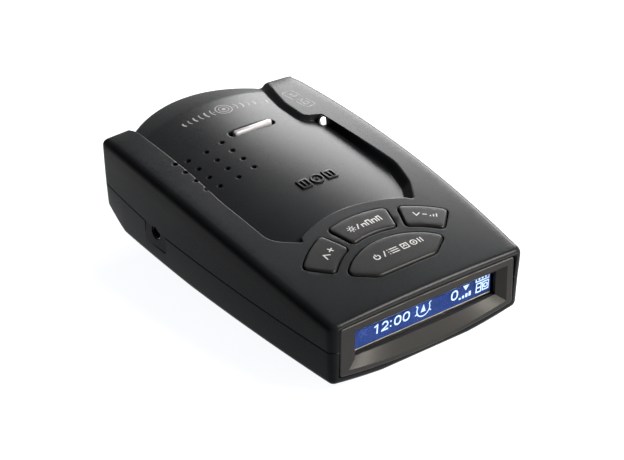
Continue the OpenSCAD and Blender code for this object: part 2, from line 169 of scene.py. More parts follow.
def resampled(loop, step):
    """Adds points to a closed outline so that none of its edges is longer than step."""
    points, normals = loop
    new_p, new_n = [], []
    for i in range(len(points)):
        p, q = points[i], points[(i + 1) % len(points)]
        m, o = normals[i], normals[(i + 1) % len(points)]
        k = max(1, math.ceil(np.linalg.norm(q - p) / step))
        for j in range(k):
            new_p.append(p + (q - p) * j / k)
            n = m + (o - m) * j / k
            new_n.append(n / np.linalg.norm(n))
    return np.array(new_p), np.array(new_n)


def ring_point(r, a):
    return r * math.cos(math.radians(a)), RING_Y + r * math.sin(math.radians(a))


def key_loop(which):
    """A key's outline in plan."""
    if which == "power":
        back = [(*ring_point(22.7, a), 0.0) for a in np.linspace(56, 124, 12)]
        return resampled(rounded([(9.4, RING_Y + 10.9, 3.4), (16.4, RING_Y + 15.7, 1.5)] + back
                                 + [(-16.4, RING_Y + 15.7, 1.5), (-9.4, RING_Y + 10.9, 3.4)]), 0.7)
    a0, a1 = KEY_ANGLES[which]
    r0, r1, c = RING_IN, RING_OUT, KEY_CORNER
    d1, d0 = math.degrees(math.asin(c / (r1 - c))), math.degrees(math.asin(c / (r0 + c)))
    inner, inner_n = arc(0, RING_Y, r0, a1 - d0, a0 + d0, 14)
    return join([arc(*ring_point(r1 - c, a0 + d1), c, a0 - 90, a0 + d1, 7),
                 arc(0, RING_Y, r1, a0 + d1, a1 - d1, 18),
                 arc(*ring_point(r1 - c, a1 - d1), c, a1 - d1, a1 + 90, 7),
                 arc(*ring_point(r0 + c, a1 - d0), c, a1 + 90, a1 - d0 + 180, 7),
                 (inner, -inner_n),
                 arc(*ring_point(r0 + c, a0 + d0), c, a0 + d0 + 180, a0 + 270, 7)])


def panel_loop():
    """The sunken panel's edge, counter-clockwise: front arc, right wall, sensor block, rear, left side."""
    front = [(*ring_point(STEP_R, a), 0.0) for a in np.linspace(116.5, 62, 16)]
    right = [(19.7, -26.2, 1.0), (24.3, -18.6, 10), (27.1, -9.0, 16), (26.6, -1.0, 40), (25.1, 22.6, 0.9),
             (20.4, 24.4, 2.2), (20.4, 33.5, 12), (22.0, 40.5, 8), (24.6, 49.5, 6), (24.8, Y_REAR + 6, 0)]
    left = [(-25.2, Y_REAR + 6, 0), (-23.9, 44.0, 10), (-24.5, 18.0, 60), (-25.6, 1.0, 60), (-25.2, -20.5, 7),
            (-17.9, -25.9, 0.7)]
    return resampled(rounded(front + right + left, 9), 0.7)


def circle_loop(x, y, r, n=20):
    return arc(x, y, r, 0, 360 * (n - 1) / n, n)


def slot_loop(x, y, length, width, n=9):
    e = (length - width) / 2
    return resampled(join([arc(x + e, y, width / 2, -90, 90, n), arc(x - e, y, width / 2, 90, 270, n)]), 0.8)


def inside(points, loop):
    """Which points lie inside a closed outline."""
    x, y = points[:, 0], points[:, 1]
    hit = np.zeros(len(points), bool)
    for (ax, ay), (bx, by) in zip(loop, np.roll(loop, -1, 0)):
        if ay != by:
            cross = (ay > y) != (by > y)
            hit ^= cross & (x < (bx - ax) * (y - ay) / (by - ay) + ax)
    return hit


def distance(points, loop):
    """Signed distance to a closed outline, positive inside."""
    best = np.full(len(points), 1e9)
    for a, b in zip(loop, np.roll(loop, -1, 0)):
        d = b - a
        t = np.clip(((points - a) @ d) / (d @ d), 0, 1)
        best = np.minimum(best, ((points - a - t[:, None] * d) ** 2).sum(1))
    return np.sqrt(best) * np.where(inside(points, loop), 1, -1)


def smooth(t):
    t = np.clip(t, 0, 1)
    return t * t * (3 - 2 * t)


# ---------------------------------------------------------------- height of the case's surfaces
PANEL = panel_loop()[0]


def sag(r, d):
    return r - np.sqrt(r * r - d * d)


def rim_z(p):
    past = p[:, 1] - RIM_REAR_Y
    drop = RIM_REAR_SLOPE * (past + np.sqrt(past ** 2 + 0.6)) / 2
    return CASE_H - sag(TOP_R, Y_CORNER - p[:, 1]) - sag(CROWN_R, p[:, 0]) - drop


def wall_width(p):
    """How wide the panel's wall is: narrow at the left and the sensor, broad at the right and the block."""
    x, y = p[:, 0], p[:, 1]
    right = smooth((x - 8) / 12)
    return 1.15 - 0.35 * right + 2.0 * right * (smooth((15 - y) / 18) + smooth((y - 22.5) / 3))


def band_crease(x):
    """Where the rear band bends down."""
    return 46.6 - 0.0058 * (x - 4) ** 2


def panel_z(p):
    z = CASE_H - sag(PANEL_R, Y_CORNER - p[:, 1]) - sag(PANEL_CROWN_R, p[:, 0])
    past = p[:, 1] - band_crease(p[:, 0])
    return z - BAND_SLOPE * (past + np.sqrt(past ** 2 + 0.8)) / 2


def top_z(p):
    """Height of the case's outer top surface over plan points."""
    share = 1 - smooth(distance(p, PANEL) / wall_width(p))
    low, high = panel_z(p), rim_z(p)
    return low + (high - low) * share


def parting_z(p):
    return np.interp(p[:, 1], PARTING_Y, PARTING_Z)


def belly_z(p):
    """Height of the underside: bowed across with a flat land, rising and then chamfered at the rear."""
    bow = np.maximum(0, p[:, 0] ** 2 / (2 * BELLY_R) + BELLY_Z)
    y = p[:, 1]
    base = bow + 0.75 * np.clip((y - 4.5) / 30.5, 0, 4)
    ramp = np.interp(y, (30.0, 46.6, 48.9, 57.5), (-2.1, 7.5, 9.6, 12.9))
    d = ramp - base
    return base + (d + np.sqrt(d * d + 0.5)) / 2 - 0.5 / (4 * np.sqrt(d * d + 0.5)) * (d < 0)


# ---------------------------------------------------------------- meshes
def new_object(name, points, faces):
    """A mesh in the scene, from points in metres."""
    mesh = bpy.data.meshes.new(name)
    mesh.from_pydata(points, [], faces)
    obj = bpy.data.objects.new(name, mesh)
    bpy.context.scene.collection.objects.link(obj)
    return obj


class Builder:
    """Collects points and faces for one mesh."""

    def __init__(self):
        self.points, self.faces, self.count = [], [], 0

    def add(self, xy, z):
        self.points.append(np.column_stack([xy, np.broadcast_to(z, len(xy))]))
        self.count += len(xy)
        return np.arange(self.count - len(xy), self.count)

    def add3(self, xyz):
        self.points.append(np.array(xyz, float))
        self.count += len(xyz)
        return np.arange(self.count - len(xyz), self.count)

    def bridge(self, low, high, closed=True):
        """Quads between two rows of one length, facing outward for counter-clockwise rows with high above."""
        n = len(low)
        for i in range(n if closed else n - 1):
            j = (i + 1) % n
            self.faces.append((low[i], low[j], high[j], high[i]))

    def face(self, indices):
        self.faces.append(tuple(indices))

    def cylinder(self, centre, axis, r, length, n=24, r_end=None):
        """A closed round bar from centre along axis."""
        axis = Vector(axis).normalized()
        u = axis.orthogonal().normalized()
        v = axis.cross(u)
        rows = []
        for k, radius in ((0, r), (length, r if r_end is None else r_end)):
            rows.append(self.add3([Vector(centre) + axis * k + (u * math.cos(a) + v * math.sin(a)) * radius
                                   for a in np.linspace(0, 2 * math.pi, n, endpoint=False)]))
        self.bridge(rows[0], rows[1])
        self.face(rows[0][::-1])
        self.face(rows[1])

    def plain_object(self, name):
        return new_object(name, (np.concatenate(self.points) * MM).tolist(),
                          [tuple(map(int, f)) for f in self.faces])

    def object(self, name, body, material, sharp=32, slot=None, replaces=()):
        """The finished mesh: shaded, riding on its body, with the CAD nodes it replaces. The slot argument is
        not used.
        """
        obj = self.plain_object(name)
        obj.data.validate()
        obj.data.materials.append(material)
        shade(obj, sharp)
        if body:
            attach(obj, body)
        if replaces:
            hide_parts(*replaces)
        return obj


def shade(obj, sharp=32):
    """Smooth shading with creases sharper than the given angle kept."""
    obj.data.shade_smooth()
    obj.data.set_sharp_from_angle(angle=math.radians(sharp))


def triangulated(outer, holes, rows, spacing):
    """Triangles over the plan area inside outer and outside holes, with the given extra points.
    Returns points, triangles and the index rows of the outer outline and of each hole."""
    loops = [outer] + list(holes)
    points, edges, index_rows = [], [], []
    for loop in loops:
        start = len(points)
        points += [tuple(q) for q in loop]
        n = len(loop)
        index_rows.append(list(range(start, start + n)))
        edges += [(start + i, start + (i + 1) % n) for i in range(n)]
    tree = kdtree.KDTree(200000)
    filled = 0
    for q in points:
        tree.insert((q[0], q[1], 0), filled)
        filled += 1
    tree.balance()

    def allowed(candidates, clear):
        ok = inside(candidates, outer)
        for hole in holes:
            near = (np.abs(candidates - hole.mean(0)).max(1) < 25) & ok
            ok[near] &= ~inside(candidates[near], hole)
        return [q for q in candidates[ok] if tree.find((q[0], q[1], 0))[2] > clear]

    for row, clear in rows:
        points += [tuple(q) for q in allowed(row, clear)]
    tree = kdtree.KDTree(len(points))
    for i, q in enumerate(points):
        tree.insert((q[0], q[1], 0), i)
    tree.balance()
    low, high = outer.min(0), outer.max(0)
    grid = []
    for j, y in enumerate(np.arange(low[1], high[1], spacing * 0.866)):
        xs = np.arange(low[0] + (j % 2) * spacing / 2, high[0], spacing)
        grid += [(x, y) for x in xs]
    points += [tuple(q) for q in allowed(np.array(grid), spacing * 0.62)]
    flat = [Vector(q) for q in points]
    out, _, triangles, origin, _, _ = geometry.delaunay_2d_cdt(flat, edges, [], 0, 1e-5)
    out = np.array([tuple(q) for q in out])
    where = {}
    for new, olds in enumerate(origin):
        for old in olds:
            where[old] = new
    middle = np.array([out[list(t)].mean(0) for t in triangles])
    keep = inside(middle, outer)
    for hole in holes:
        keep &= ~inside(middle, hole)
    kept = []
    for t, k in zip(triangles, keep):
        if k:
            a, b, c = out[t[0]], out[t[1]], out[t[2]]
            turn = (b[0] - a[0]) * (c[1] - a[1]) - (b[1] - a[1]) * (c[0] - a[0])
            kept.append(tuple(t) if turn > 0 else tuple(t[::-1]))
    return out, kept, [[where[i] for i in row] for row in index_rows]


CASE = case_outline()
LOOPS = {which: key_loop(which) for which in ("up", "dim", "down", "power")}
LIGHT_LOW, LIGHT_HIGH = box_mm("light_bar")
LIGHT_C, LIGHT_SIZE = (LIGHT_LOW + LIGHT_HIGH) / 2, LIGHT_HIGH - LIGHT_LOW
GRID = [(-8.0, 10.2), (-14.0, 9.1), (-20.1, 9.3), (-25.2, 8.2)]
GRID_PITCH, GRID_R = 5.1, 0.75


def rounded_openings():
    """The openings in the top: (outline, radius of the rounding at its mouth)."""
    openings = []
    for loop in LOOPS.values():
        openings.append(((loop[0] + loop[1] * KEY_GAP, loop[1]), 0.2))
    openings.append((slot_loop(LIGHT_C[0], LIGHT_C[1], LIGHT_SIZE[0] + 0.5, LIGHT_SIZE[1] + 0.5), 0.25))
    for x, y in GRID:
        openings += [(circle_loop(x, y + k * GRID_PITCH, GRID_R), 0.12) for k in range(4)]
    return openings


def make_top_shell(material):
    build = Builder()
    p0, n0 = CASE
    edge = np.where(n0[:, 1] < -0.6, FRONT_EDGE_R, EDGE_R)
    edge = np.convolve(np.concatenate([edge[-6:], edge, edge[:6]]), np.ones(13) / 13, "valid")
    edge = np.where(n0[:, 1] > 0.5, 1.6, edge)
    outer = p0 - n0 * edge[:, None]
    openings = rounded_openings()
    holes = [(loop[0] + loop[1] * r) for loop, r in openings]
    rows = []
    loop = panel_loop()
    fractions = [-0.35, -0.12, 0, 0.07, 0.14, 0.22, 0.32, 0.42, 0.52, 0.62, 0.72, 0.8, 0.88, 0.95, 1.02, 1.25]
    width = wall_width(loop[0])
    for f in fractions:
        rows.append((loop[0] - loop[1] * (width * f)[:, None], 0.12))
    for hole, r in openings:
        rows.append((hole[0] + hole[1] * (r + 0.35), 0.15))
    crease_x = np.arange(-21, 23, 0.8)
    for d in (-1.2, -0.6, -0.2, 0.2, 0.6, 1.2):
        rows.append((np.stack([crease_x, band_crease(crease_x) + d], 1), 0.2))
    plan, triangles, loops = triangulated(outer, holes, rows, 1.7)
    z = top_z(plan)
    skin = build.add(plan, z)
    under = build.add(plan, z - SKIN)
    for t in triangles:
        build.face(skin[list(t)])
        build.face(under[list(t[::-1])])
    for (hole, r), row in zip(openings, loops[1:]):
        mouth = skin[row]
        for a in np.radians((30, 60, 90)):
            ring = hole[0] + hole[1] * r * (1 - math.sin(a))
            new = build.add(ring, top_z(ring) - r * (1 - math.cos(a)))
            build.bridge(mouth, new)
            mouth = new
        foot = build.add(hole[0], top_z(hole[0]) - SKIN)
        build.bridge(mouth, foot)
        build.bridge(foot, under[row])
    row = skin[loops[0]]
    for a in np.radians((15, 30, 45, 60, 75, 90)):
        ring = p0 - n0 * (edge * (1 - math.sin(a)))[:, None]
        new = build.add(ring, top_z(outer * 0.35 + ring * 0.65) - edge * (1 - math.cos(a)))
        build.bridge(new, row)
        row = new
    head = top_z(p0 - n0 * 0.8) - edge
    foot = parting_z(p0) + 0.22
    for f, inset in ((0.33, 0.08), (0.67, 0.2), (1.0, 0.35)):
        new = build.add(p0 - n0 * inset, head + (foot - head) * f)
        build.bridge(new, row)
        row = new
    for inset in (0.5, 0.8, edge[:, None]):
        ring = p0 - n0 * inset
        new = build.add(ring, parting_z(ring) + 0.06)
        build.bridge(new, row)
        row = new
    build.bridge(under[loops[0]], row)
    return build.object("top_shell_skin", None, material)


def make_bottom_shell(material):
    build = Builder()
    p0, n0 = CASE
    foot_r = 1.8
    outer = p0 - n0 * (0.7 + foot_r)
    plan, triangles, loops = triangulated(outer, [], [], 1.8)
    z = belly_z(plan)
    skin = build.add(plan, z)
    inner = build.add(plan, np.minimum(z + SKIN, parting_z(plan) - 0.4))
    for t in triangles:
        build.face(skin[list(t[::-1])])
        build.face(inner[list(t)])
    row = skin[loops[0]]
    lean = 0.7
    for a in np.radians((18, 36, 54, 72, 90)):
        ring = p0 - n0 * (lean + foot_r * (1 - math.sin(a)))
        new = build.add(ring, belly_z(outer * 0.4 + ring * 0.6) + foot_r * (1 - math.cos(a)))
        build.bridge(row, new)
        row = new
    for inset, drop in ((0.38, 0.22), (0.53, 0.06), (0.8, 0.06), (0.7 + foot_r, 0.06)):
        ring = p0 - n0 * inset
        new = build.add(ring, parting_z(ring) - drop)
        build.bridge(row, new)
        row = new
    build.bridge(row, inner[loops[0]])
    return build.object("bottom_shell_skin", None, material)


# ---------------------------------------------------------------- materials
def node_material(name):
    material = bpy.data.materials.new(name)
    material.use_nodes = True
    tree = material.node_tree
    return material, tree, tree.nodes["Principled BSDF"]


def noise(tree, scale, detail=2.0, rough=0.5):
    coords = tree.nodes.new("ShaderNodeTexCoord")
    node = tree.nodes.new("ShaderNodeTexNoise")
    node.inputs["Scale"].default_value = scale
    node.inputs["Detail"].default_value = detail
    node.inputs["Roughness"].default_value = rough
    tree.links.new(coords.outputs["Object"], node.inputs["Vector"])
    return node


def ramp(tree, source, low, high, a=0.3, b=0.7):
    """Maps a noise value onto a range of numbers or colours."""
    if isinstance(low, tuple):
        node = tree.nodes.new("ShaderNodeValToRGB")
        node.color_ramp.elements[0].position, node.color_ramp.elements[1].position = a, b
        node.color_ramp.elements[0].color = (*low, 1)
        node.color_ramp.elements[1].color = (*high, 1)
        tree.links.new(source, node.inputs["Fac"])
        return node.outputs["Color"]
    node = tree.nodes.new("ShaderNodeMapRange")
    for key, value in (("From Min", a), ("From Max", b), ("To Min", low), ("To Max", high)):
        node.inputs[key].default_value = value
    tree.links.new(source, node.inputs["Value"])
    return node.outputs["Result"]


def bump(tree, shader, source, strength, height):
    node = tree.nodes.new("ShaderNodeBump")
    node.inputs["Strength"].default_value = strength
    node.inputs["Distance"].default_value = height
    tree.links.new(source, node.inputs["Height"])
    tree.links.new(node.outputs["Normal"], shader.inputs["Normal"])


def moulded(name, dark, light, rough_low, rough_high, grain=5500, strength=0.25, specular=0.5, metallic=0.0):
    """Moulded or cast material: a fine grain, with slow drifts of colour and gloss."""
    material, tree, shader = node_material(name)
    drift = noise(tree, 60, 3)
    fine = noise(tree, grain, 1.5)
    tree.links.new(ramp(tree, drift.outputs["Fac"], dark, light), shader.inputs["Base Color"])
    tree.links.new(ramp(tree, fine.outputs["Fac"], rough_low, rough_high), shader.inputs["Roughness"])
    shader.inputs["Specular IOR Level"].default_value = specular
    shader.inputs["Metallic"].default_value = metallic
    bump(tree, shader, fine.outputs["Fac"], strength, 0.00003)
    return material


def striped(name, ground, line, scale, rough=0.4):
    """A circuit board or wound part: bands of a second colour over the ground."""
    material, tree, shader = node_material(name)
    coords = tree.nodes.new("ShaderNodeTexCoord")
    cells = tree.nodes.new("ShaderNodeTexBrick")
    cells.inputs["Scale"].default_value = scale
    cells.inputs["Color1"].default_value = (*ground, 1)
    cells.inputs["Color2"].default_value = (*(c * 0.8 for c in ground), 1)
    cells.inputs["Mortar"].default_value = (*line, 1)
    cells.inputs["Mortar Size"].default_value = 0.03
    tree.links.new(coords.outputs["Object"], cells.inputs["Vector"])
    tree.links.new(cells.outputs["Color"], shader.inputs["Base Color"])
    fine = noise(tree, 900)
    tree.links.new(ramp(tree, fine.outputs["Fac"], rough - 0.05, rough + 0.08), shader.inputs["Roughness"])
    return material


def clear(name, tint, rough=0.03, ior=1.45):
    """Clear plastic."""
    material, tree, shader = node_material(name)
    drift = noise(tree, 80)
    shaded = tuple(c * 0.96 for c in tint)
    tree.links.new(ramp(tree, drift.outputs["Fac"], tint, shaded), shader.inputs["Base Color"])
    tree.links.new(ramp(tree, drift.outputs["Fac"], rough, rough + 0.02), shader.inputs["Roughness"])
    shader.inputs["Transmission Weight"].default_value = 1.0
    shader.inputs["IOR"].default_value = ior
    return material


def glowing(name, low, high, strength, scale=300):
    """A lit surface whose colour drifts a little."""
    material, tree, shader = node_material(name)
    drift = noise(tree, scale, 3)
    colour = ramp(tree, drift.outputs["Fac"], low, high)
    tree.links.new(colour, shader.inputs["Base Color"])
    tree.links.new(colour, shader.inputs["Emission Color"])
    shader.inputs["Emission Strength"].default_value = strength
    shader.inputs["Specular IOR Level"].default_value = 0.04
    shader.inputs["Roughness"].default_value = 0.3
    return material


CASE_BLACK = moulded("case_black", (0.0028, 0.0033, 0.0037), (0.0042, 0.0047, 0.0051),
                     0.26, 0.32, specular=0.035)
KEY_BLACK = moulded("key_black", (0.0045, 0.0045, 0.0046), (0.0060, 0.0060, 0.0061),
                    0.27, 0.33, specular=0.045)
BEZEL_BLACK = moulded("bezel_black", (0.0060, 0.0058, 0.0054), (0.0080, 0.0076, 0.0070),
                      0.30, 0.36, specular=0.13)
DARK_PLASTIC = moulded("dark_plastic", (0.008, 0.008, 0.008), (0.012, 0.012, 0.012), 0.4, 0.55)
STEEL = moulded("steel", (0.50, 0.50, 0.51), (0.60, 0.60, 0.61), 0.22, 0.34, 2500, 0.1, metallic=1.0)
TIN = moulded("tinned_steel", (0.55, 0.55, 0.54), (0.66, 0.66, 0.65), 0.28, 0.42, 1200, 0.15, metallic=1.0)
CAST = moulded("cast_metal", (0.42, 0.42, 0.43), (0.52, 0.52, 0.53), 0.4, 0.55, 2200, 0.4, metallic=1.0)
CERAMIC = moulded("ceramic", (0.52, 0.47, 0.36), (0.60, 0.55, 0.43), 0.45, 0.6, 3000, 0.2)
CHIP = moulded("chip", (0.012, 0.012, 0.013), (0.020, 0.020, 0.021), 0.45, 0.6, 4000, 0.2)
CAN = moulded("can_metal", (0.45, 0.47, 0.52), (0.55, 0.57, 0.62), 0.25, 0.35, 1500, 0.1, metallic=1.0)
CONE = moulded("cone", (0.014, 0.014, 0.014), (0.024, 0.024, 0.024), 0.7, 0.9, 3500, 0.5)
FOAM = moulded("foam", (0.01, 0.01, 0.01), (0.02, 0.02, 0.02), 0.8, 0.95, 4000, 0.8)
CONTACT = moulded("contact_metal", (0.09, 0.09, 0.085), (0.13, 0.13, 0.12), 0.2, 0.32, 2000, 0.1,
                  metallic=1.0)
BOARD = striped("circuit_board", (0.012, 0.085, 0.035), (0.05, 0.17, 0.07), 260)
FLEX = striped("flex", (0.45, 0.20, 0.04), (0.60, 0.32, 0.08), 500)
LABEL = moulded("label_grey", (0.20, 0.20, 0.205), (0.235, 0.235, 0.24), 0.4, 0.5, 2500, 0.05)
INFRARED = moulded("infrared_window", (0.010, 0.003, 0.005), (0.016, 0.005, 0.008), 0.08, 0.14, 900, 0.02)
PIPE = moulded("light_pipe", (0.10, 0.10, 0.105), (0.15, 0.15, 0.155), 0.25, 0.33, 700, 0.03, specular=0.2)
LED = moulded("led", (0.80, 0.78, 0.62), (0.88, 0.86, 0.72), 0.25, 0.35, 900, 0.05)
# painted glow: the sensor lens is no lamp, yet it is given a faint emission of its own so that it reads bright
LENS_PAINTED_GLOW = glowing("clear_lens", (0.86, 0.88, 0.92), (0.97, 0.98, 1.0), 0.22, 700)
LENS = clear("lens_clear", (0.93, 0.94, 0.96), ior=1.03)
DISPLAY_GLASS = moulded("display_glass", (0.004, 0.004, 0.006), (0.006, 0.006, 0.009), 0.12, 0.18, 900, 0.02)
BLUE = glowing("display_blue", (0.007, 0.016, 0.070), (0.012, 0.026, 0.110), 0.9, 120)
GLYPH = glowing("display_symbols", (0.36, 0.50, 0.80), (0.44, 0.58, 0.88), 0.75)
GLYPH_FAINT = glowing("display_symbols_off", (0.018, 0.034, 0.115), (0.022, 0.042, 0.140), 1.0)
FRAME_CREAM = glowing("display_edge", (0.30, 0.28, 0.20), (0.38, 0.35, 0.25), 0.5)
INK = moulded("ink_pale", (0.15, 0.15, 0.15), (0.19, 0.19, 0.19), 0.5, 0.65, 3000, 0.05, specular=0.1)
INK_SOFT = moulded("ink_grey", (0.10, 0.10, 0.10), (0.13, 0.13, 0.13), 0.5, 0.65, 3000, 0.05, specular=0.1)
INK_DARK = moulded("ink_dark", (0.02, 0.02, 0.02), (0.03, 0.03, 0.03), 0.5, 0.65, 3000, 0.05)

SLOT_MATERIAL = {
    "case": CASE_BLACK, "bezel": BEZEL_BLACK, "lens": LENS, "display": DISPLAY_GLASS,
    "black_plastic": DARK_PLASTIC, "flex": FLEX, "key": KEY_BLACK, "circuit_board": BOARD, "steel": STEEL,
    "tinned_steel": TIN, "cast_metal": CAST, "ceramic": CERAMIC, "chip": CHIP, "can_metal": CAN,
    "cone": CONE, "foam": FOAM, "contact_metal": CONTACT, "light_pipe": PIPE, "led": LED, "clear_lens": LENS_PAINTED_GLOW,
    "infrared_window": INFRARED, "label": LABEL}
for part in frame["record"]["subparts"]:
    node = frame["nodes"][part["node"]]
    node.data.materials.clear()
    node.data.materials.append(SLOT_MATERIAL[part["material_slot"]])
    shade(node, 30)

# ---------------------------------------------------------------- cutters and openings
BEZEL_HALF, BEZEL_TOP, BEZEL_TOP_R = 29.4, 19.3, 1200.0
BEZEL_LOW, BEZEL_HIGH = box_mm("front_bezel")
FACE, BACK = BEZEL_LOW[1], BEZEL_HIGH[1]
JACK_LOW, JACK_HIGH = box_mm("power_jack")
JACK_Y, JACK_Z = (JACK_LOW[1] + JACK_HIGH[1]) / 2, (JACK_LOW[2] + JACK_HIGH[2]) / 2
JACK_WAY = ((0, 2.1), (2.05, 2.1), (2.05, 2.9), (5, 2.9))
RECESS_HALF, RECESS_FLOOR, RECESS_DEPTH = 5.2, 7.9, 0.9
SCREWS = ((-27.2, -40.0), (27.2, -40.0), (-27.0, 33.0), (27.0, 33.0))
SCREW_WAY = ((0, 2.9), (1.25, 2.9), (1.6, 2.5), (4.6, 2.5))
PLATE_SEAT = ((-15.4, -21.9, -1), (15.4, -5.1, 0.25))
BRACKET_SLOT = ((-9, Y_CORNER - 2, 23), (9, Y_REAR + 2, 25.6))
ROAD_WINDOW = ((24.2, Y_CORNER - 3, 19.3), (30.6, Y_CORNER + 2, 24.9))
NOTCH_AT, NOTCH_WAY = (HALF_W - 4.2, Y_FRONT + 2.6, 12.5), ((0, 0.55), (6, 0.55))
MOUTH = ((FACE + 4.5, 0.22), (Y_FRONT + 0.35, 0.22), (Y_FRONT, 0.5), (Y_FRONT - 1, 0.5))


def bezel_loop(g):
    """The bezel's outline from the front, as (x, z), grown by g."""
    w = BEZEL_HALF + g
    low = [(x, x * x / (2 * BELLY_R) + BELLY_Z + 2.5 - g) for x in np.linspace(-w, w, 25)]
    top = [(x, BEZEL_TOP + g - x * x / (2 * BEZEL_TOP_R)) for x in np.linspace(w, -w, 17)]
    radii = [1.0] + [0.0] * (len(low) - 2) + [1.0] + [1.0] + [0.0] * (len(top) - 2) + [1.0]
    return resampled(rounded([(x, z, r) for (x, z), r in zip(low + top, radii)]), 1.6)


def front_row(build, loop, y):
    """A row of points standing up at the front: x and z from the loop."""
    return build.add3(np.column_stack([loop[:, 0], np.broadcast_to(y, len(loop)), loop[:, 1]]))


def lofted(rows, name):
    """A closed solid through rows of points, for cutting."""
    build = Builder()
    idx = [build.add3(r) for r in rows]
    for a, b in zip(idx, idx[1:]):
        build.bridge(a, b)
    build.face(idx[0][::-1])
    build.face(idx[-1])
    return build.plain_object(name)


def box_rows(low, high):
    x0, y0, z0 = low
    x1, y1, z1 = high
    return [[(x0, y0, z), (x1, y0, z), (x1, y1, z), (x0, y1, z)] for z in (z0, z1)]


def round_rows(centre, axis, stations, n=32):
    """Rows of a turned cutter: stations are (distance along the axis, radius)."""
    axis = Vector(axis).normalized()
    u = axis.orthogonal().normalized()
    v = axis.cross(u)
    return [[tuple(Vector(centre) + axis * k + (u * math.cos(a) + v * math.sin(a)) * r)
             for a in np.linspace(0, 2 * math.pi, n, endpoint=False)] for k, r in stations]


def cut(obj, rows):
    """Takes the solid through the given rows out of an object."""
    tool = lofted(rows, "cutter")
    modifier = obj.modifiers.new("opening", "BOOLEAN")
    modifier.operation, modifier.solver, modifier.object = "DIFFERENCE", "EXACT", tool
    graph = bpy.context.evaluated_depsgraph_get()
    mesh = bpy.data.meshes.new_from_object(obj.evaluated_get(graph))
    obj.modifiers.clear()
    old, obj.data = obj.data, mesh
    name = old.name
    bpy.data.meshes.remove(old)
    mesh.name = name
    bpy.data.objects.remove(tool)


top_shell = make_top_shell(CASE_BLACK)
bottom_shell = make_bottom_shell(CASE_BLACK)
mouth = [[(x, y, z) for x, z in bezel_loop(g)[0]] for y, g in MOUTH]
jack_hole = round_rows((-HALF_W - 1, JACK_Y, JACK_Z), (1, 0, 0), JACK_WAY)
recess = rounded([(JACK_Y - RECESS_HALF, RECESS_FLOOR, 1.0), (JACK_Y + RECESS_HALF, RECESS_FLOOR, 1.0),
                  (JACK_Y + RECESS_HALF, 18, 0.0), (JACK_Y - RECESS_HALF, 18, 0.0)])[0]
for shell in (top_shell, bottom_shell):
    cut(shell, mouth)
cut(bottom_shell, [[(x, y, z) for y, z in recess] for x in (-HALF_W - 2, -HALF_W + RECESS_DEPTH)])
for shell in (top_shell, bottom_shell):
    cut(shell, jack_hole)
for x, y in SCREWS:
    cut(bottom_shell, round_rows((x, y, -1), (0, 0, 1), SCREW_WAY))
cut(bottom_shell, box_rows(*PLATE_SEAT))
cut(top_shell, box_rows(*BRACKET_SLOT))
cut(top_shell, box_rows(*ROAD_WINDOW))
for shell in (top_shell, bottom_shell):
    cut(shell, round_rows(NOTCH_AT, (1, 0, 0), NOTCH_WAY, 16))
for obj, node in ((top_shell, "top_shell"), (bottom_shell, "bottom_shell")):
    shade(obj, 32)
    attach(obj, "housing")
    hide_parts(node)


# ---------------------------------------------------------------- bezel and display
WINDOW_X0, WINDOW_X1, WINDOW_Z0, WINDOW_Z1 = -24.4, 24.4, 8.0, 15.3
WINDOW_Y = FACE + 1.6


def sides(bottom, right, top, left):
    """A closed loop from four lists of points, each ending where the next begins."""
    return np.array(bottom[:-1] + right[:-1] + top[:-1] + left[:-1])


def line(p, q, n):
    return [tuple(np.array(p) + (np.array(q) - np.array(p)) * t) for t in np.linspace(0, 1, n)]


def make_bezel():
    """The bezel: a rounded frame, a flare below and to the right of the window, and a ledge behind it."""
    build = Builder()
    p, n = bezel_loop(0)
    rows = [front_row(build, p - n * inset, y)
            for inset, y in ((0, BACK), (0, FACE + 0.4), (0.12, FACE + 0.12), (0.4, FACE))]
    for a, b in zip(rows, rows[1:]):
        build.bridge(a, b)
    x0, x1, z0, z1 = WINDOW_X0, WINDOW_X1, WINDOW_Z0, WINDOW_Z1
    low = [(x, 3.3 + x * x / 300) for x in np.linspace(-26.4, 27.2, 41)]
    right_top, left_top, left_low = (27.0, 16.9), (x0 - 0.2, 16.9), (x0 - 0.2, z0 + 0.5)
    flare = sides(low, line(low[-1], right_top, 9), line(right_top, left_top, 31),
                  line(left_top, left_low, 7)[:-1] + line(left_low, low[0], 4))
    window = sides(line((x0, z0), (x1, z0), 41), line((x1, z0), (x1, z1), 9), line((x1, z1), (x0, z1), 31),
                   line((x0, z1), (x0, z0 + 0.3), 7)[:-1] + line((x0, z0 + 0.3), (x0, z0), 4))
    ledge_y = np.full(len(window), WINDOW_Y)
    ledge_y[:41] -= 0.7 * (1 - (window[:41, 0] / x1) ** 2)
    plan, triangles, loops = triangulated(p - n * 0.4, [flare], [], 2.4)
    front = front_row(build, plan, FACE)
    for t in triangles:
        build.face(front[list(t)])
    build.bridge(rows[-1], front[loops[0]])
    mouth_row = front[loops[1]]
    for share in (0.5, 1.0):
        new = build.add3(np.column_stack([flare[:, 0] + (window[:, 0] - flare[:, 0]) * share,
                                          FACE + (ledge_y - FACE) * share,
                                          flare[:, 1] + (window[:, 1] - flare[:, 1]) * share]))
        build.bridge(new, mouth_row)
        mouth_row = new
    foot = front_row(build, window, BACK)
    build.bridge(foot, mouth_row)
    plan, triangles, loops = triangulated(p, [window], [], 2.4)
    back = front_row(build, plan, BACK)
    for t in triangles:
        build.face(back[list(t[::-1])])
    build.bridge(back[loops[0]], rows[0])
    build.bridge(back[loops[1]][::-1], foot[::-1])
    build.object("bezel_skin", "housing", BEZEL_BLACK, 24, "bezel", ("front_bezel",))


make_bezel()


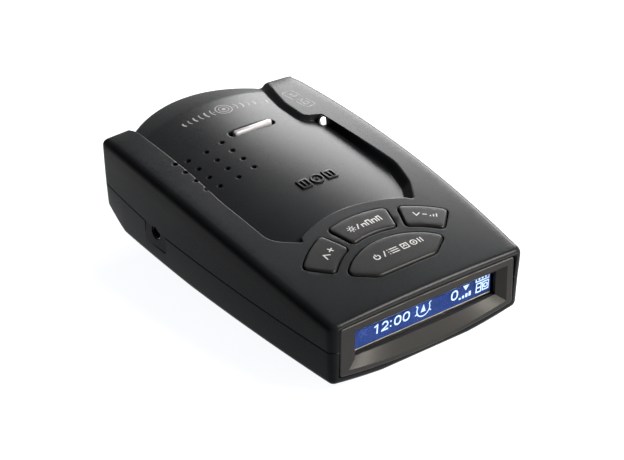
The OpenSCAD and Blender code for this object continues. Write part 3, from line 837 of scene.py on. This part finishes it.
def slab(name, low, high, material, body, slot, replaces=(), round_off=0.0):
    """A box; round_off rounds its edges."""
    build = Builder()
    rows = [build.add3(r) for r in box_rows(low, high)]
    build.bridge(rows[0], rows[1])
    build.face(rows[0][::-1])
    build.face(rows[1])
    obj = build.object(name, body, material, 32, slot, replaces)
    if round_off:
        bevel = obj.modifiers.new("edges", "BEVEL")
        bevel.width, bevel.segments, bevel.limit_method = round_off * MM, 3, "ANGLE"
        bevel.harden_normals = True
    return obj


PANEL_Y = box_mm("display_panel")[0][1]
LIT_X0, LIT_X1 = -25.6, 24.1
slab("window_plate", (-27.5, BACK + 0.05, 7.7), (27.5, BACK + 0.45, 16.9), LENS, "housing", "lens",
     ("display_lens",), 0.05)
slab("lit_area", (LIT_X0, PANEL_Y - 0.05, 8.35), (LIT_X1, PANEL_Y - 0.01, 16.2), BLUE, "housing", "display")
slab("lit_edge", (LIT_X0, PANEL_Y - 0.06, 8.06), (LIT_X1, PANEL_Y - 0.01, 8.3), FRAME_CREAM, "housing",
     "display")


# ---------------------------------------------------------------- flat symbols: strokes and filled shapes
class Symbols:
    """Strokes and filled shapes in a plane, u to the right and v up, laid on the model by a function."""

    def __init__(self, place):
        self.place, self.build = place, Builder()

    def _row(self, points):
        return self.build.add3([self.place(u, v) for u, v in points])

    def fill(self, points):
        """A convex shape, counter-clockwise."""
        self.build.face(self._row(points))

    def bar(self, u0, v0, u1, v1):
        self.fill([(u0, v0), (u1, v0), (u1, v1), (u0, v1)])

    def stroke(self, points, width, closed=False):
        p = [np.array(q, float) for q in points]
        n = len(p)
        left, right = [], []
        for i in range(n):
            before = p[i] - p[i - 1] if closed or i else p[1] - p[0]
            after = p[(i + 1) % n] - p[i] if closed or i < n - 1 else p[-1] - p[-2]
            a, b = before / np.linalg.norm(before), after / np.linalg.norm(after)
            side = np.array([-(a + b)[1], (a + b)[0]])
            side /= np.linalg.norm(side)
            reach = width / 2 / max(0.5, abs(float(side @ np.array([-a[1], a[0]]))))
            left.append(p[i] + side * reach)
            right.append(p[i] - side * reach)
        a, b = self._row(right), self._row(left)
        for i in range(n if closed else n - 1):
            j = (i + 1) % n
            self.build.faces.append((a[i], a[j], b[j], b[i]))

    def ring(self, u, v, r, width, a0=0.0, a1=360.0):
        closed = a1 - a0 >= 360
        n = max(6, int((a1 - a0) / 15))
        angles = np.radians(np.linspace(a0, a1, n, endpoint=not closed))
        self.stroke([(u + r * math.cos(a), v + r * math.sin(a)) for a in angles], width, closed)

    def disc(self, u, v, r):
        angles = np.linspace(0, 2 * math.pi, 20, endpoint=False)
        self.fill([(u + r * math.cos(a), v + r * math.sin(a)) for a in angles])

    def object(self, name, body, material, slot):
        return self.build.object(name, body, material, 60, slot)


def stadium_points(u, v, w, h, n=5):
    """A rounded upright oblong, counter-clockwise, for a zero or a frame."""
    r = min(w, h) / 2 * 0.98
    points = []
    for cu, cv, a0 in ((w / 2 - r, h / 2 - r, 0), (-w / 2 + r, h / 2 - r, 90), (-w / 2 + r, -h / 2 + r, 180),
                       (w / 2 - r, -h / 2 + r, 270)):
        for a in np.radians(np.linspace(a0, a0 + 90, n)):
            q = (u + cu + r * math.cos(a), v + cv + r * math.sin(a))
            if not points or math.dist(points[-1], q) > 0.03:
                points.append(q)
    return points[:-1] if math.dist(points[0], points[-1]) < 0.03 else points


def digit(symbols, which, u, v, w, h, t):
    """A numeral whose lower left corner is at (u, v)."""
    c = u + w / 2
    if which == "0":
        symbols.stroke(stadium_points(c, v + h / 2, w - t, h - t), t, True)
    elif which == "1":
        symbols.stroke([(c + 0.15, v), (c + 0.15, v + h)], t)
        symbols.stroke([(c + 0.1, v + h - t * 0.6), (u, v + h - t * 1.6)], t * 0.9)
    elif which == "2":
        r = (w - t) / 2
        bow = [(c + r * math.cos(a), v + h - t / 2 - r + r * math.sin(a))
               for a in np.radians((165, 130, 90, 50, 10, -25))]
        symbols.stroke(bow + [(u + t * 0.6, v + t * 0.7)], t)
        symbols.stroke([(u, v + t / 2), (u + w, v + t / 2)], t)
    elif which == ":":
        symbols.bar(c - t / 2, v + h * 0.12, c + t / 2, v + h * 0.12 + t)
        symbols.bar(c - t / 2, v + h * 0.62, c + t / 2, v + h * 0.62 + t)


def on_display(u, v):
    """Display plane, with the symbols leaning slightly."""
    return (u + 0.06 * (v - 11.8), PANEL_Y - 0.09, v)


def make_display_symbols():
    s = Symbols(on_display)
    for which, u, w in (("1", -15.7, 1.7), ("2", -13.3, 2.3), (":", -10.6, 0.8), ("0", -9.1, 2.4),
                        ("0", -6.2, 2.4)):
        digit(s, which, u, 10.35, w, 2.9, 0.46)
    s.ring(0.75, 11.9, 2.2, 0.34, 150, 390)
    s.fill([(-0.1, 11.0), (1.6, 11.0), (0.75, 13.3)])
    for a in (150, 30, 205, 335):
        q, k = math.cos(math.radians(a)), math.sin(math.radians(a))
        s.stroke([(0.75 + 2.2 * q, 11.9 + 2.2 * k), (0.75 + 3.0 * q, 11.9 + 3.0 * k)], 0.36)
    digit(s, "0", 10.3, 10.3, 2.4, 3.0, 0.46)
    for k, h in enumerate((0.5, 0.8, 1.1, 1.4)):
        s.bar(13.1 + k * 1.15, 9.75, 13.85 + k * 1.15, 9.75 + h)
    s.fill([(15.4, 11.9), (16.5, 13.5), (14.3, 13.5)])
    s.stroke([(19.2, 9.7), (20.8, 9.7), (20.8, 12.3), (19.2, 12.3)], 0.35, True)
    s.stroke([(19.3, 11.0), (20.7, 11.0)], 0.35)
    s.stroke([(21.4, 9.8), (23.4, 9.8), (23.4, 12.3), (21.4, 12.3)], 0.35, True)
    s.ring(22.4, 11.05, 0.6, 0.35)
    s.stroke([(18.9, 14.4), (18.9, 13.0), (23.4, 13.0), (23.4, 14.4)], 0.34)
    for k in range(3):
        s.disc(20.0 + k * 1.15, 13.75, 0.36)
    s.object("display_symbols", "housing", GLYPH, "display")
    s = Symbols(on_display)
    s.stroke([(-20.6, 13.2), (-18.0, 11.2)], 0.5)
    s.stroke([(-20.2, 11.3), (-18.3, 13.1)], 0.5)
    s.stroke([(-20.9, 12.4), (-19.9, 13.4)], 0.5)
    s.object("display_symbols_off", "housing", GLYPH_FAINT, "display")


make_display_symbols()


# ---------------------------------------------------------------- keys
def key_top(p):
    return rim_z(p) + KEY_PROUD


def make_key(which):
    """A key cap with a rounded top edge, a flange below and a stem down to its plunger."""
    p, n = LOOPS[which]
    edge = KEY_EDGE
    build = Builder()
    outer = p - n * edge
    plan, triangles, loops = triangulated(outer, [], [], 1.1)
    skin = build.add(plan, key_top(plan))
    base = build.add(plan, key_top(plan) - KEY_DEPTH)
    for t in triangles:
        build.face(skin[list(t)])
        build.face(base[list(t[::-1])])
    row = skin[loops[0]]
    for a in np.radians((15, 30, 45, 60, 75, 90)):
        ring = p - n * edge * (1 - math.sin(a))
        new = build.add(ring, key_top(ring) - edge * (1 - math.cos(a)))
        build.bridge(new, row)
        row = new
    for g, drop in ((0.0, KEY_DEPTH - 0.5), (FLANGE, KEY_DEPTH - 0.5), (FLANGE, KEY_DEPTH)):
        ring = p + n * g
        new = build.add(ring, key_top(ring) - drop)
        build.bridge(new, row)
        row = new
    build.bridge(base[loops[0]], row)
    stem_low, stem_high = box_mm(f"{which}_plunger")
    middle = (stem_low + stem_high) / 2
    build.cylinder((middle[0], middle[1], stem_high[2]), (0, 0, 1), 1.6, 3.0)
    return build.object(f"{which}_key_cap", f"{which}_key", KEY_BLACK, 40, "key", (f"{which}_button",))


for which in LOOPS:
    make_key(which)


def laid(height, cx, cy, turn, lift):
    """Places symbols about (cx, cy) on a surface, turned by so many degrees and lifted a little."""
    c, k = math.cos(math.radians(turn)), math.sin(math.radians(turn))

    def place(u, v):
        x, y = cx + u * c - v * k, cy + u * k + v * c
        return (x, y, float(height(np.array([[x, y]]))[0]) + lift)
    return place


def on_key(cx, cy, turn):
    return laid(key_top, cx, cy, turn, 0.025)


INK_W = 0.34
s = Symbols(on_key(-15.5, -33.2, 34))
s.stroke([(-2.5, -0.7), (-1.4, 0.95), (-0.3, -0.7)], INK_W)
s.stroke([(0.6, 0.0), (2.4, 0.0)], INK_W)
s.stroke([(1.5, -0.9), (1.5, 0.9)], INK_W)
s.object("up_symbols", "up_key", INK, "key")
s = Symbols(on_key(0.3, -28.3, 0))
s.ring(-4.4, 0, 0.55, 0.3)
for a in range(0, 360, 45):
    q, k = math.cos(math.radians(a)), math.sin(math.radians(a))
    s.stroke([(-4.4 + 0.9 * q, 0.9 * k), (-4.4 + 1.3 * q, 1.3 * k)], 0.26)
s.stroke([(-2.7, -0.95), (-1.7, 0.95)], INK_W)
s.stroke([(-0.9, -0.95), (-0.9, 0.2), (0.2, 0.2), (0.2, -0.95)], INK_W)
s.stroke([(0.9, -0.95), (0.9, 0.95), (2.0, 0.95), (2.0, -0.95)], INK_W)
s.stroke([(2.7, -0.95), (2.7, 0.5), (3.8, 0.5), (3.8, -0.95)], INK_W)
s.stroke([(4.5, -0.95), (4.5, 0.95), (5.4, 0.95), (5.4, -0.95)], INK_W)
s.object("dim_symbols", "dim_key", INK, "key")
s = Symbols(on_key(17.3, -33.0, -34))
s.stroke([(-3.2, 0.6), (-2.3, -0.7), (-1.4, 0.6)], INK_W)
s.stroke([(-0.6, 0.0), (0.6, 0.0)], INK_W)
for k, h in enumerate((0.55, 0.95, 1.35)):
    s.stroke([(1.5 + k * 0.85, -0.75), (1.5 + k * 0.85, -0.75 + h)], INK_W)
s.object("down_symbols", "down_key", INK, "key")
s = Symbols(on_key(1.4, -41.0, 0))
s.ring(-7.0, -0.1, 0.85, INK_W, 125, 415)
s.stroke([(-7.0, 0.1), (-7.0, 1.1)], INK_W)
s.stroke([(-4.9, -1.0), (-3.9, 1.0)], INK_W)
for k in range(3):
    s.stroke([(-2.4, 0.8 - 0.8 * k), (0.2, 0.8 - 0.8 * k)], 0.3)
    s.disc(-3.0, 0.8 - 0.8 * k, 0.18)
s.stroke([(1.4, -0.9), (1.4, 0.9), (3.4, 0.9), (3.4, -0.9)], 0.3, True)
s.stroke([(1.9, -0.2), (2.4, 0.35), (2.9, -0.2)], 0.3)
s.ring(5.4, 0, 0.9, 0.3)
s.disc(5.4, 0, 0.3)
s.stroke([(7.2, 0.9), (7.2, -0.9)], INK_W)
s.stroke([(8.1, 0.9), (8.1, -0.9)], INK_W)
s.object("power_symbols", "power_key", INK, "key")


# ---------------------------------------------------------------- print and relief on the case
def on_case(cx, cy, turn, lift=0.02):
    return laid(top_z, cx, cy, turn, lift)


def bent(place, radius):
    """Bends a symbol's baseline into an arc, highest in the middle."""
    def placed(u, v):
        a = u / radius
        return place((radius + v) * math.sin(a), (radius + v) * math.cos(a) - radius)
    return placed


s = Symbols(bent(on_case(3.2, 40.4, -2), 90))
s.ring(0, 0, 2.5, 0.28)
s.ring(0, 0, 1.5, 0.24)
s.disc(0, 0, 0.6)
for side in (-1, 1):
    for k in range(6):
        r = 2.0 - 0.16 * k
        u = side * (4.3 + 2.0 * k)
        wave = [(u + side * (math.cos(a) - 1) * r * 0.7, r * math.sin(a))
                for a in np.radians(np.linspace(-50, 50, 9))]
        s.stroke(wave, 0.5 if k % 2 else 0.3)
    s.stroke([(side * 3.1, 0), (side * 14.6, 0)], 0.22)
s.object("band_symbols", "housing", INK_SOFT, "case")

s = Symbols(on_case(25.0, 33.5, -84))
s.stroke([(-5.4, -1.3), (-4.9, -1.8), (4.9, -1.8), (5.4, -1.3), (5.4, 1.3), (4.9, 1.8), (-4.9, 1.8),
          (-5.4, 1.3)], 0.24, True)
s.disc(-3.3, 0, 0.4)
for k in range(2):
    s.ring(-3.3, 0, 1.05 + 0.6 * k, 0.24, -42, 42)
s.stroke([(0.1, -0.8), (0.9, 0.8), (1.7, -0.8)], 0.3)
s.stroke([(2.5, -0.8), (2.5, 0.8), (3.9, 0.8), (3.9, -0.8)], 0.3, True)
s.object("block_symbols", "housing", INK_SOFT, "case")

s = Symbols(on_case(2.6, -4.1, 2, -0.05))
s.ring(0.3, 0, 1.75, 0.62)
s.stroke([(0.3, 0.3), (0.3, -0.3)], 0.6)
for side in (-1, 1):
    u0, u1 = 0.3 + side * 3.0, 0.3 + side * 5.9
    s.stroke([(u0, -1.6), (u0, 1.6), (u1, 1.6), (u1, -1.6)], 0.6, True)
    s.stroke([(0.3 + side * 4.45, -1.4), (0.3 + side * 4.45, 1.4)], 0.5)
emblem = s.object("raised_emblem", "housing", CASE_BLACK, "case")
solid = emblem.modifiers.new("height", "SOLIDIFY")
solid.thickness, solid.offset = 0.42 * MM, 1.0
soft = emblem.modifiers.new("edges", "BEVEL")
soft.width, soft.segments = 0.1 * MM, 2


# ---------------------------------------------------------------- light, lens and jack
def make_light_bar():
    """The light bar, shorter than its slot and a little proud of the panel."""
    build = Builder()
    x, y = LIGHT_C[0] + 0.25, LIGHT_C[1]
    rows = []
    top = float(panel_z(np.array([[x, y]]))[0]) + 0.62
    half, r = 6.6, 0.92
    for drop, inset in ((3.6, 0.0), (0.8, 0.0), (0.45, 0.08), (0.2, 0.25), (0.06, 0.5)):
        loop = slot_loop(x, y, 2 * (half - inset), 2 * (r - inset * 0.85))[0]
        rows.append(build.add(loop, top - drop))
    for a, b in zip(rows, rows[1:]):
        build.bridge(a, b)
    build.face(rows[0][::-1])
    build.face(rows[-1])
    return build.object("light_bar_skin", "housing", PIPE, 50, "light_pipe", ("light_bar",))


def make_dome(name, centre, axis, r, rise, depth, material, slot, replaces=()):
    """A lens: a short bar with a domed end."""
    axis = Vector(axis).normalized()
    build = Builder()
    stations = [(-depth, r)]
    stations += [(rise * math.sin(a), r * math.cos(a)) for a in np.radians((0, 18, 36, 54, 70, 82))]
    rows = [build.add3(row) for row in round_rows(centre, axis, stations)]
    for a, b in zip(rows, rows[1:]):
        build.bridge(a, b)
    build.face(rows[0][::-1])
    build.face(rows[-1])
    return build.object(name, "housing", material, 50, slot, replaces)


LENS_AT, LENS_LEAN = Vector((24.5, 21.1, 28.0)), math.radians(62)
LENS_AXIS = Vector((0, -math.sin(LENS_LEAN), math.cos(LENS_LEAN)))
make_light_bar()
make_dome("nose_boss", LENS_AT, LENS_AXIS, 2.0, 0.5, 3.5, CASE_BLACK, "case")
make_dome("nose_lens", LENS_AT + LENS_AXIS * 0.45, LENS_AXIS, 1.5, 0.85, 2.0, LENS_PAINTED_GLOW, "clear_lens",
          ("cabin_sensor_lens",))

# ---------------------------------------------------------------- underside and rear
s = Symbols(lambda u, v: (-u, v - 13.5, 0.03))
for k, w in enumerate((0.3, 0.6, 0.3, 0.9, 0.3, 0.3, 0.6, 0.3, 0.9, 0.3, 0.6, 0.3)):
    s.bar(-12.5 + k * 1.1, -6.0, -12.5 + k * 1.1 + w, -2.6)
for k in range(4):
    s.bar(-12.5, 5.4 - 1.5 * k, 3.0 - 2.0 * (k % 2), 5.8 - 1.5 * k)
s.stroke([(6.0, -5.6), (12.6, -5.6), (12.6, 0.6), (6.0, 0.6)], 0.3, True)
s.ring(9.3, -2.5, 2.1, 0.3)
s.stroke([(7.9, -3.9), (10.7, -1.1)], 0.3)
s.object("plate_print", "housing", INK_DARK, "label")

slab("bracket_socket_floor", (-9.8, Y_CORNER - 4, 22.2), (9.8, Y_CORNER - 3.2, 26.4), DARK_PLASTIC, "housing",
     "black_plastic")


# ---------------------------------------------------------------- floor, light and camera
def make_stage():
    """The floor: pale, with a faint light of its own that keeps it even."""
    reach = 3.0
    floor = new_object("floor", [(-reach, -reach, 0), (reach, -reach, 0), (reach, reach, 0), (-reach, reach, 0)],
                       [(0, 1, 2, 3)])
    material, _, shader = node_material("floor_pale")
    shader.inputs["Base Color"].default_value = (0.14, 0.14, 0.14, 1)
    shader.inputs["Roughness"].default_value = 0.9
    shader.inputs["Specular IOR Level"].default_value = 0.1
    shader.inputs["Emission Color"].default_value = (0.96, 0.98, 1.0, 1)
    shader.inputs["Emission Strength"].default_value = 0.96
    floor.data.materials.append(material)


def area(name, place, target, size, power, colour=(1, 1, 1)):
    data = bpy.data.lights.new(name, "AREA")
    data.shape = "RECTANGLE"
    data.size, data.size_y = size
    data.energy = power
    data.color = colour
    light = bpy.data.objects.new(name, data)
    light.location = place
    light.rotation_euler = (Vector(target) - Vector(place)).to_track_quat("-Z", "Y").to_euler()
    bpy.context.scene.collection.objects.link(light)


def make_world():
    """A studio whose walls are bright low down and dark higher up, brighter to the right and the rear."""
    world = bpy.data.worlds.new("studio")
    world.use_nodes = True
    tree = world.node_tree
    coords = tree.nodes.new("ShaderNodeTexCoord")
    split = tree.nodes.new("ShaderNodeSeparateXYZ")
    tree.links.new(coords.outputs["Generated"], split.inputs["Vector"])
    heights = tree.nodes.new("ShaderNodeValToRGB")
    stops = ((0.0, 1.7), (0.16, 1.5), (0.32, 0.8), (0.52, 0.7), (0.72, 0.6), (1.0, 0.6))
    elements = heights.color_ramp.elements
    while len(elements) < len(stops):
        elements.new(0.5)
    for element, (place, value) in zip(elements, stops):
        element.position = place
        element.color = (value, value, value, 1)
    tree.links.new(split.outputs["Z"], heights.inputs["Fac"])
    sideways = tree.nodes.new("ShaderNodeMapRange")
    for key, value in (("From Min", -0.5), ("From Max", 1.0), ("To Min", 0.2), ("To Max", 1.3)):
        sideways.inputs[key].default_value = value
    tree.links.new(split.outputs["X"], sideways.inputs["Value"])
    mix = tree.nodes.new("ShaderNodeVectorMath")
    mix.operation = "SCALE"
    tree.links.new(heights.outputs["Color"], mix.inputs[0])
    tree.links.new(sideways.outputs["Result"], mix.inputs["Scale"])
    background = tree.nodes["Background"]
    tree.links.new(mix.outputs["Vector"], background.inputs["Color"])
    background.inputs["Strength"].default_value = 1.0
    bpy.context.scene.world = world


make_stage()
make_world()
area("key_light", (0.42, -0.40, 0.54), (0, -0.05, 0), (0.34, 0.26), 27, (1.0, 0.96, 0.91))
area("rear_light", (0.47, 0.33, 0.27), (0.02, 0, 0.02), (0.42, 0.26), 8.5, (1.0, 1.0, 1.0))
area("sill_light", (0.50, -0.80, 0.08), (0, -0.056, 0.005), (0.70, 0.24), 15, (1.0, 0.93, 0.84))
bpy.context.scene.view_settings.view_transform = "Standard"

AZIMUTH, ELEVATION, DISTANCE = math.radians(-37.289), math.radians(31.088), 0.5915
CAMERA_AIM = Vector((0.00347, -0.00116, 0.01016))
camera_data = bpy.data.cameras.new("camera")
camera = bpy.data.objects.new("camera", camera_data)
bpy.context.scene.collection.objects.link(camera)
level = math.cos(ELEVATION)
back = Vector((math.sin(AZIMUTH) * level, -math.cos(AZIMUTH) * level, math.sin(ELEVATION)))
camera.location = CAMERA_AIM + back * DISTANCE
camera.rotation_euler = (-back).to_track_quat("-Z", "Y").to_euler()
camera_data.sensor_width = 36
camera_data.lens = 122.17
camera_data.clip_start, camera_data.clip_end = 0.01, 20
bpy.context.scene.camera = camera
